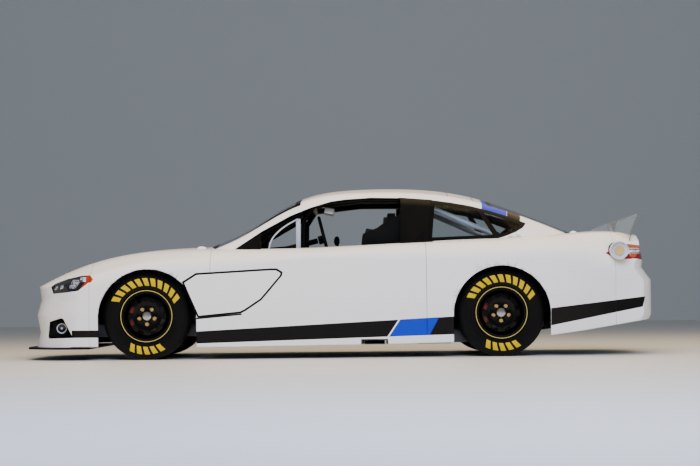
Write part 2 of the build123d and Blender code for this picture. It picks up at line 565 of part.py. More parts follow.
# Cage of round tube: main hoop, roof frame, screen legs, dash bar, door bars, stays and diagonal
tube = 22
hoop_x = 620
foot_z = floor_z + sheet + 5
hoop_foot_z = step_z + sheet + 5
cage = []
for side in (-1, 1):
    hoop_top = (hoop_x, side * 490, 1262)
    halo = (-190, side * 505, 1222)
    screen = (-900, side * 690, 826)
    post = (-275, side * 600, 815)
    runs = [[(hoop_x, side * 800, hoop_foot_z), (hoop_x, side * 745, 860), (hoop_x, side * 590, 1190), hoop_top],
            [hoop_top, (200, side * 500, 1266), halo, screen, (-865, side * 805, foot_z)],
            [hoop_top, (1240, side * 470, 985), (1575, side * 457, 606)],
            [halo, (-268, side * 570, 1108), post]]
    for z, bulge in ((370, 850), (490, 860), (610, 860), (730, 850)):
        runs.append([(hoop_x, side * 775, z), (hoop_x - 260, side * bulge, z), (-560, side * bulge, z), (-915, side * 745, z)])
    for run in runs:
        cage += rod_run(run, tube)
    cage += [ball(point, tube) for point in (hoop_top, halo, post)]
for line in ([(hoop_x, -490, 1262), (hoop_x, 490, 1262)], [(-190, -505, 1222), (-190, 505, 1222)],
             [(-275, -735, 815), (-275, 735, 815)], [(hoop_x, -750, 800), (hoop_x, 750, 800)],
             [(hoop_x, -480, 1262), (hoop_x, 780, 480)]):
    cage += rod_run(line, tube)
add("cage", fused(cage))

# Seat: moulded shell with side wings up to the head
seat_half = 205
seat_wall = 28
seat_shell = [(-90, 222), (-90, 340), (210, 310), (320, 440), (400, 910), (410, 1150), (470, 1150), (470, 890), (400, 420), (310, 222)]
seat_side = [(-40, 222), (-40, 420), (210, 480), (300, 640), (320, 800), (196, 890), (206, 985), (320, 1032), (395, 1085),
             (520, 1150), (560, 1150), (530, 900), (450, 430), (340, 222)]
wings = [side_prism(seat_side, driver_y + side * (seat_half - 1), driver_y + side * (seat_half + seat_wall)) for side in (-1, 1)]
add("seat", fused([side_prism(seat_shell, driver_y - seat_half, driver_y + seat_half)] + wings))

# Instrument panel under the screen, with room for the column
dash_outline = [(-760, 870), (-330, 900), (-318, 850), (-345, 845), (-420, 872), (-760, 850)]
column_room = rod(tuple(hub + axis * 100), tuple(hub + axis * 700), 30)
add("dash", one(side_prism(dash_outline, -545, 545).cut(column_room)))

for name, shape in nodes.items():
    export_step(shape, f"parts/{name}.step")
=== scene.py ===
import bpy
import json
from math import atan, hypot, pi, radians
from mathutils import Matrix, Vector

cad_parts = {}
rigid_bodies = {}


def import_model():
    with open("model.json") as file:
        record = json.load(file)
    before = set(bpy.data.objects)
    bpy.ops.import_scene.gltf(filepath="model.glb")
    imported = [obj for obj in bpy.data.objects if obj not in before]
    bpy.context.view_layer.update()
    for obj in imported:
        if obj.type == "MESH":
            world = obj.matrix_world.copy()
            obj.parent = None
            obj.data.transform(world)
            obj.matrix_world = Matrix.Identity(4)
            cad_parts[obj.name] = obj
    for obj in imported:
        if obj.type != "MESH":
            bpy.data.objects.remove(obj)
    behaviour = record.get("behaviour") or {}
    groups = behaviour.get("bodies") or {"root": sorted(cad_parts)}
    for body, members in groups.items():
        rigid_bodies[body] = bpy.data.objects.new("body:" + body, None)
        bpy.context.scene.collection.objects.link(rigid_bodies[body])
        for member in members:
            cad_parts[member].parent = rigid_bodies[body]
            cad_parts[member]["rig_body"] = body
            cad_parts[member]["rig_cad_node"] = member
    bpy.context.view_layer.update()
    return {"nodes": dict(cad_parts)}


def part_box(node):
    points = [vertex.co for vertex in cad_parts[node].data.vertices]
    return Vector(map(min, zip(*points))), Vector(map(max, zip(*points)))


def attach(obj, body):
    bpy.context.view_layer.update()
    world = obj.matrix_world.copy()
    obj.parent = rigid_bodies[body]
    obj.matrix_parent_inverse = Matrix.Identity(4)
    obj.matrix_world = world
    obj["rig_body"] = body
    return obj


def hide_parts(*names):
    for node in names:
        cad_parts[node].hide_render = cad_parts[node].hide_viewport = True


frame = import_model()
nodes = frame["nodes"]
bpy.ops.object.select_all(action="DESELECT")
print("frame loaded,", len(nodes), "nodes")


# helpers

def selectOnly(piece):
    bpy.ops.object.select_all(action="DESELECT")
    piece.select_set(True)
    bpy.context.view_layer.objects.active = piece


def startEdit(piece):
    # edit mode with the whole mesh selected
    selectOnly(piece)
    bpy.ops.object.mode_set(mode="EDIT")
    bpy.ops.mesh.select_all(action="SELECT")


def finishPiece(piece, name, body, materials):
    # the piece gets its name, its finishes and the body it rides on
    piece.name = name
    piece.data.name = name
    piece.data.materials.clear()
    for material in materials:
        piece.data.materials.append(material)
    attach(piece, body)
    return piece


def placeInMesh(piece):
    # the object goes back to the origin and its place stays in its mesh
    selectOnly(piece)
    bpy.ops.object.transform_apply(location=True, rotation=True, scale=True)


def mergedCopy(nodeName, materials, smoothAngle=32):
    # the CAD node again, its loose triangles joined so that it can be shaded smooth
    source = nodes[nodeName]
    piece = source.copy()
    piece.data = source.data.copy()
    piece.parent = None
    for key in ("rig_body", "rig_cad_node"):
        del piece[key]
    bpy.context.scene.collection.objects.link(piece)
    startEdit(piece)
    bpy.ops.mesh.remove_doubles(threshold=0.00003)
    bpy.ops.object.mode_set(mode="OBJECT")
    bpy.ops.object.shade_smooth_by_angle(angle=radians(smoothAngle))
    evened = piece.modifiers.new("evened", "WEIGHTED_NORMAL")
    evened.keep_sharp = True
    bpy.ops.object.modifier_apply(modifier="evened")
    finishPiece(piece, nodeName + "_dressed", source["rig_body"], materials)
    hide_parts(nodeName)
    return piece


def scoreAlong(piece, corners, plane="side"):
    # cuts the faces along each edge of an outline, in side view (x, z) or in plan (x, y)
    selectOnly(piece)
    bpy.ops.object.mode_set(mode="EDIT")
    for (u0, v0), (u1, v1) in zip(corners, corners[1:] + corners[:1]):
        bpy.ops.mesh.select_all(action="SELECT")
        across = (v0 - v1, u1 - u0)
        point = (u0, 0, v0) if plane == "side" else (u0, v0, 0)
        normal = (across[0], 0, across[1]) if plane == "side" else (across[0], across[1], 0)
        bpy.ops.mesh.bisect(plane_co=point, plane_no=normal)
    bpy.ops.object.mode_set(mode="OBJECT")


def inOutline(u, v, corners):
    # true inside a convex outline whose corners run counterclockwise
    return all((u1 - u0) * (v - v0) - (v1 - v0) * (u - u0) > 0
               for (u0, v0), (u1, v1) in zip(corners, corners[1:] + corners[:1]))


def paintFaces(piece, materialIndex, chosen):
    for face in piece.data.polygons:
        if chosen(face.center, face.normal):
            face.material_index = materialIndex


def facesInward(centre, normal):
    # true for the inner side of a body panel, judged from the car's middle at half a metre up
    return normal.dot(Vector((centre.x * 0.15, centre.y, centre.z - 0.5))) < 0


def surfaceZ(nodeName, x, y):
    # where the top of a dressed node stands, looking down from 3 m up
    dressed = bpy.data.objects[nodeName + "_dressed"]
    return dressed.ray_cast(Vector((x, y, 3)), Vector((0, 0, -1)))[1].z


def lathe(profile, centre, steps):
    # a profile of (place along the axle, radius) drawn as edges, then spun about the axle
    bpy.ops.object.select_all(action="DESELECT")
    bpy.ops.mesh.primitive_plane_add(size=0.01, location=(0, 0, 0))
    piece = bpy.context.object
    bpy.ops.object.mode_set(mode="EDIT")
    bpy.ops.mesh.select_all(action="SELECT")
    bpy.ops.mesh.merge(type="CENTER")
    points = [Vector(centre) + Vector((0, along, radius)) for along, radius in profile]
    bpy.ops.transform.translate(value=points[0])
    for before, after in zip(points, points[1:]):
        bpy.ops.mesh.extrude_region_move(TRANSFORM_OT_translate={"value": after - before})
    bpy.ops.mesh.select_all(action="SELECT")
    bpy.ops.mesh.spin(steps=steps, angle=2 * pi, center=centre, axis=(0, 1, 0))
    bpy.ops.mesh.select_all(action="SELECT")
    bpy.ops.mesh.remove_doubles(threshold=0.00002)
    bpy.ops.mesh.normals_make_consistent(inside=False)
    bpy.ops.object.mode_set(mode="OBJECT")
    return piece


def bevelled(piece, width, segments=2):
    # rounds the edges sharper than 30 degrees
    selectOnly(piece)
    bevel = piece.modifiers.new("edges", "BEVEL")
    bevel.width = width
    bevel.segments = segments
    bevel.angle_limit = radians(30)
    bpy.ops.object.modifier_apply(modifier="edges")
    bpy.ops.object.shade_smooth_by_angle(angle=radians(35))


def boxPiece(centre, size, turn=(0, 0, 0), edge=0.003, segments=2):
    bpy.ops.object.select_all(action="DESELECT")
    bpy.ops.mesh.primitive_cube_add(size=1, location=centre, rotation=[radians(a) for a in turn], scale=size)
    piece = bpy.context.object
    placeInMesh(piece)
    if edge:
        bevelled(piece, edge, segments)
    return piece


def barPiece(start, end, radius, vertices=20):
    # a round bar between two points
    start, end = Vector(start), Vector(end)
    turn = (end - start).to_track_quat("Z", "Y").to_euler()
    bpy.ops.object.select_all(action="DESELECT")
    bpy.ops.mesh.primitive_cylinder_add(vertices=vertices, radius=radius, depth=(end - start).length,
                                        location=(start + end) / 2, rotation=turn)
    piece = bpy.context.object
    placeInMesh(piece)
    return piece


def joined(pieces):
    selectOnly(pieces[0])
    for piece in pieces[1:]:
        piece.select_set(True)
    bpy.ops.object.join()
    return bpy.context.object


# materials

def linearColour(hexColour):
    channels = [int(hexColour[i:i + 2], 16) / 255 for i in (1, 3, 5)]
    return [c / 12.92 if c <= 0.04045 else ((c + 0.055) / 1.055) ** 2.4 for c in channels] + [1]


def addNode(tree, kind, inputs=None, **settings):
    # a node with its settings, its values and its links
    node = tree.nodes.new(kind)
    for key, value in settings.items():
        setattr(node, key, value)
    for key, value in (inputs or {}).items():
        if isinstance(value, bpy.types.NodeSocket):
            tree.links.new(value, node.inputs[key])
        else:
            node.inputs[key].default_value = value
    return node


def newMaterial(name, colour, roughness, metallic=0, **sockets):
    material = bpy.data.materials.new(name)
    material.use_nodes = True
    shader = material.node_tree.nodes["Principled BSDF"]
    shader.inputs["Base Color"].default_value = linearColour(colour)
    shader.inputs["Roughness"].default_value = roughness
    shader.inputs["Metallic"].default_value = metallic
    for key, value in sockets.items():
        shader.inputs[key.replace("_", " ")].default_value = value
    return material, material.node_tree, shader


def mathOf(tree, operation, *values):
    # one step of arithmetic and its result
    return addNode(tree, "ShaderNodeMath", dict(enumerate(values)), operation=operation).outputs[0]


def place(tree):
    return addNode(tree, "ShaderNodeTexCoord").outputs["Object"]


def mixColour(tree, factor, first, second):
    # first where the factor is 0, second where it is 1
    mix = addNode(tree, "ShaderNodeMix", {0: factor, 6: first, 7: second}, data_type="RGBA")
    return mix.outputs[2]


def grain(tree, where, size, detail=3.0):
    # noise whose patches are about that many metres across
    noise = addNode(tree, "ShaderNodeTexNoise", {"Vector": where, "Scale": 1 / size, "Detail": detail})
    return noise.outputs["Fac"]


def bumpFrom(tree, shader, height, distance, strength=1.0):
    bump = addNode(tree, "ShaderNodeBump", {"Height": height, "Distance": distance, "Strength": strength})
    tree.links.new(bump.outputs["Normal"], shader.inputs["Normal"])


def insideOutline(tree, where, corners):
    # 1 inside a convex outline in side view, its corners counterclockwise as (x, z)
    mask = None
    for (x0, z0), (x1, z1) in zip(corners, corners[1:] + corners[:1]):
        across = (z0 - z1, 0, x1 - x0)
        side = addNode(tree, "ShaderNodeVectorMath", {0: where, 1: across}, operation="DOT_PRODUCT")
        test = mathOf(tree, "GREATER_THAN", side.outputs["Value"], across[0] * x0 + across[2] * z0)
        mask = test if mask is None else mathOf(tree, "MULTIPLY", mask, test)
    return mask


# outlines of the painted bands, as seen from the side
livery = {
    "white": "#eceae6",
    "cream": "#f2e9d6",
    "black": "#040405",
    "blue": "#0832b0",
    "red": "#780409",
    "amber": "#9a2704",
    "line": "#f2f2f0",
    "sill": [(-1.112, 0.126), (0.93, 0.1785), (0.93, 0.318), (-1.112, 0.2205)],
    "sillBlue": [(0.406, 0.165), (0.719, 0.173), (0.795, 0.313), (0.495, 0.298)],
    "sillLine": [(0.388, 0.165), (0.402, 0.165), (0.491, 0.298), (0.477, 0.298)],
    "rear": [(1.674, 0.239), (2.406, 0.379), (2.430, 0.460), (1.674, 0.375)],
    "roofBlue": [(1.155, 1.10), (1.365, 1.10), (1.395, 1.32), (1.187, 1.32)],
    "roofBlack": [(1.365, 1.08), (1.475, 1.08), (1.51, 1.30), (1.395, 1.30)],
    "nose": [(-2.09, 0.18), (-1.86, 0.18), (-1.86, 0.237), (-2.09, 0.237)],
    "ventFoot": [(-1.112, 0.315), (-0.752, 0.346), (-0.752, 0.358), (-1.112, 0.327)],
    "pillar": [(0.50, 0.80), (0.765, 0.80), (0.765, 1.256), (0.50, 1.277)],
    "corner": [(-0.838, 0.80), (-0.600, 0.80), (-0.600, 1.012), (-0.838, 0.854)],
    "lampTip": [(2.119, 0.804), (2.180, 0.768), (2.30, 0.76), (2.30, 0.87), (2.20, 0.85)],
    "tailFill": [(2.268, 0.757), (2.332, 0.757), (2.318, 0.800), (2.285, 0.800)],
    "amberTip": [(-1.957, 0.611), (-1.936, 0.613), (-1.920, 0.637), (-1.946, 0.668), (-1.957, 0.674)],
}


def withBands(tree, where, colour, outlines, bands):
    # the colour with painted bands over it, each one an outline seen from the side and its colour,
    # and where the bands lie
    covered = None
    for outline, bandColour in bands:
        band = insideOutline(tree, where, outlines[outline])
        colour = mixColour(tree, band, colour, linearColour(bandColour))
        covered = band if covered is None else mathOf(tree, "MAXIMUM", covered, band)
    return colour, covered


pearl = {"coat": 0.6, "bandCoat": 0.06, "flakeSize": 0.0025, "creamShare": 0.3, "waveSize": 0.6}


def pearlPaint(name, bands):
    # two-stage pearl urethane over steel and composite: creamy white, clear coat, very fine flake
    material, tree, shader = newMaterial(name, livery["white"], 0.4, Coat_Weight=pearl["coat"],
                                         Coat_Roughness=0.05, Specular_IOR_Level=0.25)
    where = place(tree)
    flake = grain(tree, where, pearl["flakeSize"], 2.0)
    warm = mathOf(tree, "MULTIPLY", flake, pearl["creamShare"])
    colour = mixColour(tree, warm, linearColour(livery["white"]), linearColour(livery["cream"]))
    coloured = [(outline, livery[shade]) for outline, shade in bands]
    colour, covered = withBands(tree, where, colour, livery, coloured)
    tree.links.new(colour, shader.inputs["Base Color"])
    coat = addNode(tree, "ShaderNodeMapRange", {0: covered, 3: pearl["coat"], 4: pearl["bandCoat"]})
    tree.links.new(coat.outputs[0], shader.inputs["Coat Weight"])
    bumpFrom(tree, shader, grain(tree, where, pearl["waveSize"], 1.0), 0.004, 0.15)
    return material


def blackEnamel(name="glossBlackEnamel", roughness=0.28):
    # stoved enamel on steel, with a slight orange peel
    material, tree, shader = newMaterial(name, "#030304", roughness, Coat_Weight=0.06, Coat_Roughness=0.1,
                                         Specular_IOR_Level=0.18)
    bumpFrom(tree, shader, grain(tree, place(tree), 0.004), 0.0002, 0.3)
    return material


def mouldedBlack():
    # moulded black ABS, fine leather-like grain of about 1 mm
    material, tree, shader = newMaterial("mouldedBlackPlastic", "#060708", 0.5, Specular_IOR_Level=0.25)
    bumpFrom(tree, shader, grain(tree, place(tree), 0.0015), 0.0002, 0.4)
    return material


def greyEnamel(name, colour, roughness=0.4):
    # sprayed enamel on welded steel tube or sheet
    material, tree, shader = newMaterial(name, colour, roughness, Coat_Weight=0.2)
    where = place(tree)
    dark = [c * 0.82 for c in linearColour(colour)[:3]] + [1]
    cloudy = mixColour(tree, grain(tree, where, 0.12), linearColour(colour), dark)
    tree.links.new(cloudy, shader.inputs["Base Color"])
    bumpFrom(tree, shader, grain(tree, where, 0.005), 0.0002, 0.3)
    return material


def bareMetal(name, colour, roughness, grainSize):
    # bare metal with fine streaks from turning, rolling or brushing
    material, tree, shader = newMaterial(name, colour, roughness, 1)
    where = place(tree)
    streaks = grain(tree, where, grainSize, 4.0)
    rough = addNode(tree, "ShaderNodeMapRange", {0: streaks, 3: roughness * 0.75, 4: roughness * 1.35})
    tree.links.new(rough.outputs[0], shader.inputs["Roughness"])
    bumpFrom(tree, shader, streaks, 0.0001, 0.4)
    return material


sidewall = {
    "yellow": "#c8a800",
    "inner": 0.240,      # radii of the printed blocks
    "outer": 0.300,
    "topBlocks": 11,     # blocks in each arc
    "bottomBlocks": 5,
    "blocks": 30,        # block pitches in a full turn
    "filled": 0.66,      # share of each pitch that is printed
    "lean": 6.0,         # how far the blocks lean, in pitches for each metre of radius
    "ripple": 420.0,     # moulded rings, as radians for each metre of radius
}


def tyreRubber():
    # vulcanised rubber, matte, with moulded rings and two arcs of printed yellow blocks on the sidewall
    material, tree, shader = newMaterial("tyreRubber", "#0b0b0c", 0.62, Specular_IOR_Level=0.2)
    uv = addNode(tree, "ShaderNodeUVMap", uv_map="sidewall").outputs[0]
    split = addNode(tree, "ShaderNodeSeparateXYZ", {0: uv})
    radius = addNode(tree, "ShaderNodeVectorMath", {0: uv}, operation="LENGTH").outputs["Value"]
    angle = mathOf(tree, "ARCTAN2", split.outputs[0], split.outputs[1])
    middle = (sidewall["inner"] + sidewall["outer"]) / 2
    lean = mathOf(tree, "MULTIPLY_ADD", radius, sidewall["lean"], -middle * sidewall["lean"])
    pitches = mathOf(tree, "MULTIPLY_ADD", angle, sidewall["blocks"] / (2 * pi), lean)
    fromTop = mathOf(tree, "ABSOLUTE", pitches)
    top = mathOf(tree, "LESS_THAN", fromTop, sidewall["topBlocks"] / 2)
    bottom = mathOf(tree, "GREATER_THAN", fromTop, (sidewall["blocks"] - sidewall["bottomBlocks"]) / 2)
    phase = mathOf(tree, "FLOORED_MODULO", mathOf(tree, "ADD", pitches, sidewall["filled"] / 2), 1.0)
    solid = mathOf(tree, "LESS_THAN", phase, sidewall["filled"])
    above = mathOf(tree, "GREATER_THAN", radius, sidewall["inner"])
    below = mathOf(tree, "LESS_THAN", radius, sidewall["outer"])
    mask = mathOf(tree, "ADD", top, bottom)
    for other in (solid, above, below):
        mask = mathOf(tree, "MULTIPLY", mask, other)
    rubber = mixColour(tree, grain(tree, place(tree), 0.02), linearColour("#050506"), linearColour("#0b0b0d"))
    printed = mixColour(tree, mask, rubber, linearColour(sidewall["yellow"]))
    tree.links.new(printed, shader.inputs["Base Color"])
    rings = mathOf(tree, "SINE", mathOf(tree, "MULTIPLY", radius, sidewall["ripple"]))
    bumpFrom(tree, shader, rings, 0.0006, 0.25)
    return material


def clearSheet(name, colour, transmission, roughness=0.03):
    # clear polycarbonate sheet
    material, tree, shader = newMaterial(name, colour, roughness, Transmission_Weight=transmission, IOR=1.2)
    haze = grain(tree, place(tree), 0.2)
    rough = addNode(tree, "ShaderNodeMapRange", {0: haze, 3: roughness * 0.6, 4: roughness * 1.6}).outputs[0]
    tree.links.new(rough, shader.inputs["Roughness"])
    return material


# outlines in side view, as (x, z); the head lamp's silver patches are painted highlights where its reflectors
# catch the light
lampPrintAndHighlights = {
    "innerGleam": [(-2.243, 0.557), (-2.207, 0.562), (-2.212, 0.592), (-2.232, 0.582)],
    "middleGleam": [(-2.192, 0.562), (-2.162, 0.571), (-2.162, 0.607), (-2.182, 0.592)],
    "reflector": [(-2.111, 0.570), (-2.060, 0.565), (-2.030, 0.610), (-2.034, 0.636), (-2.090, 0.636)],
    "marker": [(-2.022, 0.616), (-1.979, 0.620), (-1.979, 0.656), (-2.030, 0.656)],
    "tailWhite": [(2.2, 0.815), (2.6, 0.815), (2.6, 0.826), (2.2, 0.826)],
    "tailUpperLine": [(2.2, 0.830), (2.6, 0.830), (2.6, 0.838), (2.2, 0.838)],
    "tailLowerLine": [(2.2, 0.802), (2.6, 0.802), (2.6, 0.809), (2.2, 0.809)],
}


def lampFace(name, colour, bands=()):
    # clear-coated lamp cover with fine vertical flutes; facets break the bands on it into their full colour
    # and patches of dim grey painted shade, as a faceted reflector would catch the light
    material, tree, shader = newMaterial(name, colour, 0.08, Coat_Weight=0.7, Coat_Roughness=0.03)
    where = place(tree)
    if bands:
        # Voronoi facets choose, spot by spot, the lit copy of the bands or a dim grey copy: painted highlight
        # and painted shade
        facets = addNode(tree, "ShaderNodeTexVoronoi", {"Vector": where, "Scale": 60.0}).outputs["Distance"]
        paintedShadeShare = addNode(tree, "ShaderNodeMapRange", {0: facets, 1: 0.2, 2: 0.7}).outputs[0]
        paintedShadeColours = [(outline, "#3c4047") for outline, shade in bands]
        paintedLitBands = withBands(tree, where, linearColour(colour), lampPrintAndHighlights, bands)[0]
        paintedShadedBands = withBands(tree, where, linearColour(colour), lampPrintAndHighlights, paintedShadeColours)[0]
        tree.links.new(mixColour(tree, paintedShadeShare, paintedLitBands, paintedShadedBands), shader.inputs["Base Color"])
    flutes = addNode(tree, "ShaderNodeTexWave", {"Vector": where, "Scale": 60.0}, bands_direction="X")
    bumpFrom(tree, shader, flutes.outputs["Fac"], 0.0006, 0.4)
    return material


fog = {"x": -2.187, "z": 0.254, "lens": 0.0425, "ring": (0.033, 0.0405), "paintedHighlight": 0.008, "glass": "#0b0d10",
       "silver": "#c4c9cf"}


def fogFace():
    # smoked lens with a thin silver reflector ring, and a small silver disc painted at its middle as a
    # highlight
    material, tree, shader = newMaterial("smokedFogLens", fog["glass"], 0.1, Coat_Weight=0.4)
    middle = (fog["x"], 0, fog["z"])
    offset = addNode(tree, "ShaderNodeVectorMath", {0: place(tree), 1: middle}, operation="SUBTRACT")
    flat = addNode(tree, "ShaderNodeVectorMath", {0: offset.outputs[0], 1: (1, 0, 1)}, operation="MULTIPLY")
    reach = addNode(tree, "ShaderNodeVectorMath", {0: flat.outputs[0]}, operation="LENGTH").outputs["Value"]
    beyond = mathOf(tree, "GREATER_THAN", reach, fog["ring"][0])
    within = mathOf(tree, "LESS_THAN", reach, fog["ring"][1])
    # a painted highlight: a small silver disc at the lens's middle
    paintedHighlightSpot = mathOf(tree, "LESS_THAN", reach, fog["paintedHighlight"])
    # silver where the ring is, and where the painted highlight is
    light = mathOf(tree, "MAXIMUM", mathOf(tree, "MULTIPLY", beyond, within), paintedHighlightSpot)
    colour = mixColour(tree, light, linearColour(fog["glass"]), linearColour(fog["silver"]))
    tree.links.new(colour, shader.inputs["Base Color"])
    return material


def wovenFabric(name, colour, pitch=0.0025):
    # woven polyester cover, thread pitch drawn coarse enough to show
    material, tree, shader = newMaterial(name, colour, 0.85, Sheen_Weight=0.3)
    threads = {"Vector": place(tree), "Scale": 0.16 / pitch}
    warp = addNode(tree, "ShaderNodeTexWave", threads, bands_direction="X").outputs["Fac"]
    weft = addNode(tree, "ShaderNodeTexWave", threads, bands_direction="Z").outputs["Fac"]
    weave = mathOf(tree, "MULTIPLY", warp, weft)
    light = [min(1, c * 1.6) for c in linearColour(colour)[:3]] + [1]
    tree.links.new(mixColour(tree, weave, linearColour(colour), light), shader.inputs["Base Color"])
    bumpFrom(tree, shader, weave, 0.0005, 0.6)
    return material


paint = pearlPaint("pearlUrethane", [
    ("sill", "black"), ("sillBlue", "blue"), ("sillLine", "line"), ("rear", "black"), ("nose", "black"),
    ("ventFoot", "black"), ("lampTip", "red"), ("tailFill", "red"), ("amberTip", "amber")])
roofPaint = pearlPaint("pearlUrethaneRoof", [
    ("pillar", "black"), ("corner", "black"), ("roofBlue", "blue"), ("roofBlack", "black")])
wheelBlack = blackEnamel()
frameBlack = blackEnamel("satinBlackEnamel", 0.45)
plasticBlack = mouldedBlack()
rubber = tyreRubber()
cageGrey = greyEnamel("lightGreyEnamel", "#c4c9cf")
innerPrimer = greyEnamel("darkGreyPrimer", "#1d1e20", 0.7)
chassisGrey = greyEnamel("midGreyEnamel", "#6d7074")
darkEnamel = greyEnamel("darkGreyEnamel", "#3a3b3e")
engineGrey = greyEnamel("greyIronCasting", "#4a4a4b", 0.65)
discIron = bareMetal("turnedCastIron", "#6f6c69", 0.45, 0.003)
caliperRed = greyEnamel("redCaliperEnamel", "#8e2b22")
nutGold = newMaterial("yellowZincPlatedSteel", "#b3945a", 0.35, 0.4)[0]
goldStripe = newMaterial("goldStripePaint", "#c8b35c", 0.4)[0]
valveGold = newMaterial("paleGoldAnodisedAluminium", "#e0c07c", 0.4, 0.3)[0]
fillerSilver = newMaterial("satinSilverPaint", "#d4d6e2", 0.35, 0.1)[0]
capSilver = bareMetal("brightZincCap", "#c9c9c9", 0.3, 0.006)
steelTube = bareMetal("bareSteelTube", "#8d8f92", 0.38, 0.01)
aluminium = bareMetal("brushedAluminium", "#c4c6c8", 0.33, 0.008)
windowSheet = clearSheet("clearPolycarbonate", "#eef4f4", 1.0)
spoilerSheet = clearSheet("lightlyFrostedPolycarbonate", "#cfd6d6", 0.85, 0.12)
spoilerEdge = newMaterial("polishedSheetEdge", "#eef1f4", 0.4)[0]
# painted highlights: silver and white patches on the head lamp's smoked face
paintedSilverGleams = [("innerGleam", "#b9bec6"), ("middleGleam", "#ccd0d6"), ("reflector", "#a9adb8"),
               ("marker", "#eceef2")]
tailBars = [("tailWhite", "#f0eeee"), ("tailUpperLine", "#3a2a2c"), ("tailLowerLine", "#3a2a2c")]
lampClear = lampFace("clearTailLampFace", "#b09a9c", tailBars)
lampDark = lampFace("smokedLampFace", "#0c0e12", paintedSilverGleams)
lampRed = lampFace("redLampFace", "#7a060b")
lampAmber = lampFace("amberLampFace", "#9a2704")
fogLens = fogFace()
seatCloth = wovenFabric("blackSeatCloth", "#0f1012")
webbing = wovenFabric("greyWebbing", "#8b8e93", 0.002)
print("materials made")


# body panels

def openSeams(panel, nodeName, gapX, gapZ=0):
    # narrows a panel about its middle, by the gap at each of its ends
    low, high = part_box(nodeName)
    shrinkX = 1 - 2 * gapX / (high.x - low.x)
    shrinkZ = 1 - 2 * gapZ / (high.z - low.z)
    startEdit(panel)
    bpy.ops.transform.resize(value=(shrinkX, 1, shrinkZ), center_override=(low + high) / 2)
    bpy.ops.object.mode_set(mode="OBJECT")


paintedPanels = ["nose", "hood", "fender_left", "fender_right", "door_left", "door_right", "quarter_left",
                 "quarter_right", "rear_bumper", "decklid", "roof_shell", "roof_flap_left", "roof_flap_right",
                 "cowl_panels", "skirts"]
seam = 0.0015  # half of the gap left between neighbouring panels
for nodeName in paintedPanels:
    panel = mergedCopy(nodeName, [roofPaint if nodeName.startswith("roof") else paint, innerPrimer])
    paintFaces(panel, 1, facesInward)
    if nodeName.startswith(("door", "fender", "quarter")):
        openSeams(panel, nodeName, seam)

vent = {"gap": 0.003, "paintedGapShade": 0.014}  # each plate gets a black border painted round its face, painted shade of the gap round it
panel = mergedCopy("vent_plates", [paint, innerPrimer, frameBlack])
paintFaces(panel, 2, lambda c, n: True)
selectOnly(panel)
bpy.ops.object.mode_set(mode="EDIT")
bpy.ops.mesh.select_mode(type="FACE")
bpy.ops.mesh.select_all(action="DESELECT")
bpy.ops.object.mode_set(mode="OBJECT")
for face in panel.data.polygons:
    face.select = not facesInward(face.center, face.normal) and abs(face.normal.y) > 0.6
bpy.ops.object.mode_set(mode="EDIT")
bpy.ops.mesh.inset(thickness=vent["paintedGapShade"], use_even_offset=True)
bpy.ops.mesh.select_mode(type="VERT")
bpy.ops.object.mode_set(mode="OBJECT")
# the inset middle keeps the paint and the ring round it stays black, painted shade of the gap
for face in panel.data.polygons:
    if face.select:
        face.material_index = 0
    elif facesInward(face.center, face.normal):
        face.material_index = 1
openSeams(panel, "vent_plates", vent["gap"], vent["gap"])
print("body panels dressed")


# glass with its black painted borders

borders = {  # outlines of the clear parts, in side view for the quarter windows and in plan for the others
    "quarterClear": [(0.757, 0.945), (1.27, 0.963), (1.40, 0.99), (1.468, 1.043), (1.25, 1.127),
                     (1.074, 1.172), (0.787, 1.222)],
    "quarterDivider": [(1.247, 0.96), (1.297, 0.96), (1.180, 1.15), (1.130, 1.16)],
    "windshield": [(-0.965, -0.640), (-0.335, -0.585), (-0.335, 0.585), (-0.965, 0.640)],
    "rear_window": [(1.255, -0.475), (1.865, -0.462), (1.865, 0.462), (1.255, 0.475)],
}


def quarterBlack(centre, normal):
    clear = inOutline(centre.x, centre.z, borders["quarterClear"])
    return not clear or inOutline(centre.x, centre.z, borders["quarterDivider"])


glass = mergedCopy("quarter_windows", [windowSheet, frameBlack])
scoreAlong(glass, borders["quarterClear"])
scoreAlong(glass, borders["quarterDivider"])
paintFaces(glass, 1, quarterBlack)
for nodeName in ("windshield", "rear_window"):
    clear = borders[nodeName]
    glass = mergedCopy(nodeName, [windowSheet, frameBlack])
    scoreAlong(glass, clear, "plan")
    paintFaces(glass, 1, lambda c, n: not inOutline(c.x, c.y, clear))
print("glass dressed")


# lamps

lampParts = {"amberTop": -1.979, "amberFoot": -2.034, "amberFootZ": 0.552, "amberBendZ": 0.620,
             "redTo": 0.800, "clearTo": 0.846}
amberTop, redTo, clearTo = lampParts["amberTop"], lampParts["redTo"], lampParts["clearTo"]
lamps = mergedCopy("lamps", [lampDark, lampAmber, lampRed, lampClear])
amberLower = [(lampParts["amberFoot"], lampParts["amberFootZ"]), (amberTop, lampParts["amberBendZ"])]
scoreAlong(lamps, amberLower)
scoreAlong(lamps, [(amberTop, 0.5), (amberTop, 0.7)])  # an upright cut through the whole lamp
for height in (redTo, clearTo):
    scoreAlong(lamps, [(0, height), (3, height), (1, 5)])  # a level cut, its other edges clear of the lamp
amberFoot = [amberLower[0], (-1.90, 0.40), amberLower[1]]
paintFaces(lamps, 1, lambda c, n: c.x < 0 and (c.x > amberTop or inOutline(c.x, c.z, amberFoot)))
paintFaces(lamps, 2, lambda c, n: c.x > 0 and not redTo < c.z < clearTo)
paintFaces(lamps, 3, lambda c, n: c.x > 0 and redTo < c.z < clearTo)

ducts = mergedCopy("lamp_ducts", [plasticBlack, fogLens])


def onFogLens(centre, normal):
    return hypot(centre.x - fog["x"], centre.z - fog["z"]) < fog["lens"] and abs(normal.y) > 0.5


paintFaces(ducts, 1, onFogLens)
print("lamps dressed")


# wheels

